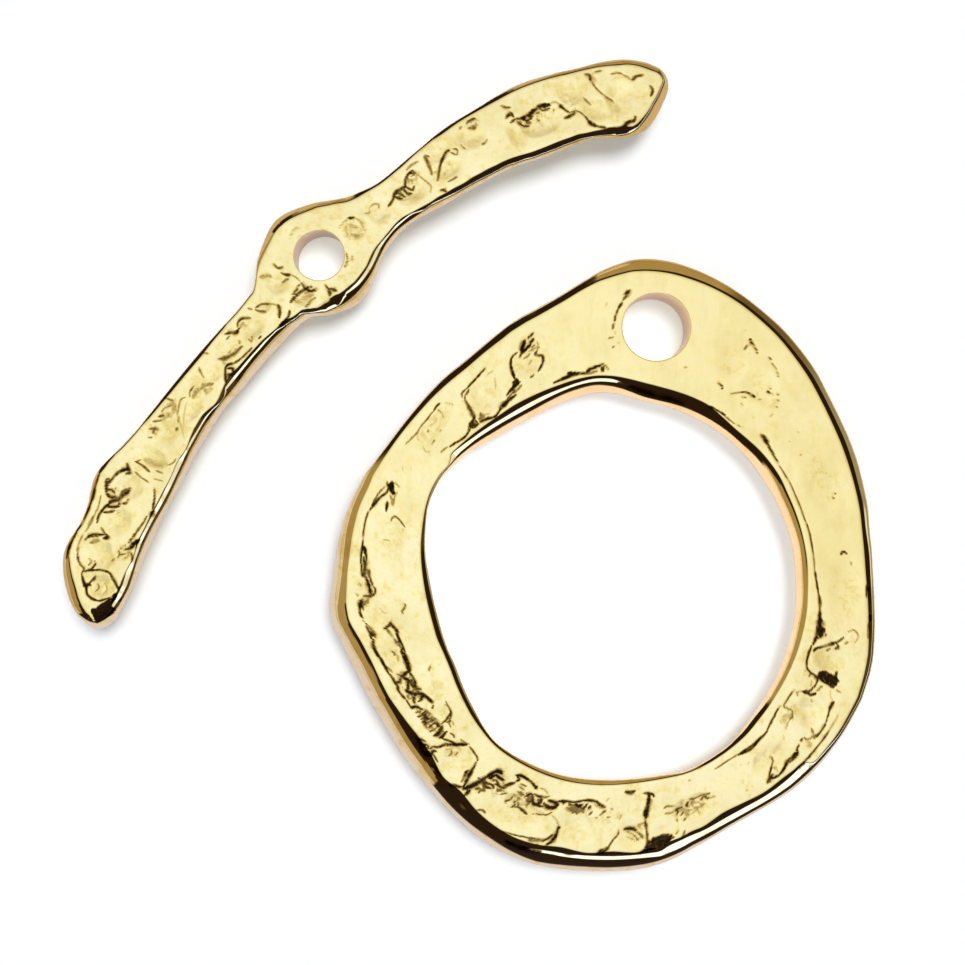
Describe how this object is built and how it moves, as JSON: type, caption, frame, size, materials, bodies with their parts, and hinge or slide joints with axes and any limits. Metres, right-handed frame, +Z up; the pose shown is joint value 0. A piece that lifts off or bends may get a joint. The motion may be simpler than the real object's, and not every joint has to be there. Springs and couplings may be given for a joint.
{
  "type": "toggle clasp",
  "caption": "Hammered gold-plated toggle clasp: an uneven closed ring with a jump-ring hole at its widest part, and a curved, flared bar with a pierced eye at its middle, lying side by side.",
  "frame": {"origin": "on the surface the clasp lies on, under the middle of the box round both pieces", "axes": "+Z up through both flat castings and along both jump-ring holes; +X to the right and +Y to the top of the picture"},
  "size_m": [0.0364, 0.0366, 0.0025],
  "materials": {
    "plated_metal": "polished, hammered, with dark oxidised creases"
  },
  "bodies": {
    "root": {"toggle_ring": "plated_metal", "toggle_bar": "plated_metal"}
  },
  "joints": []
}
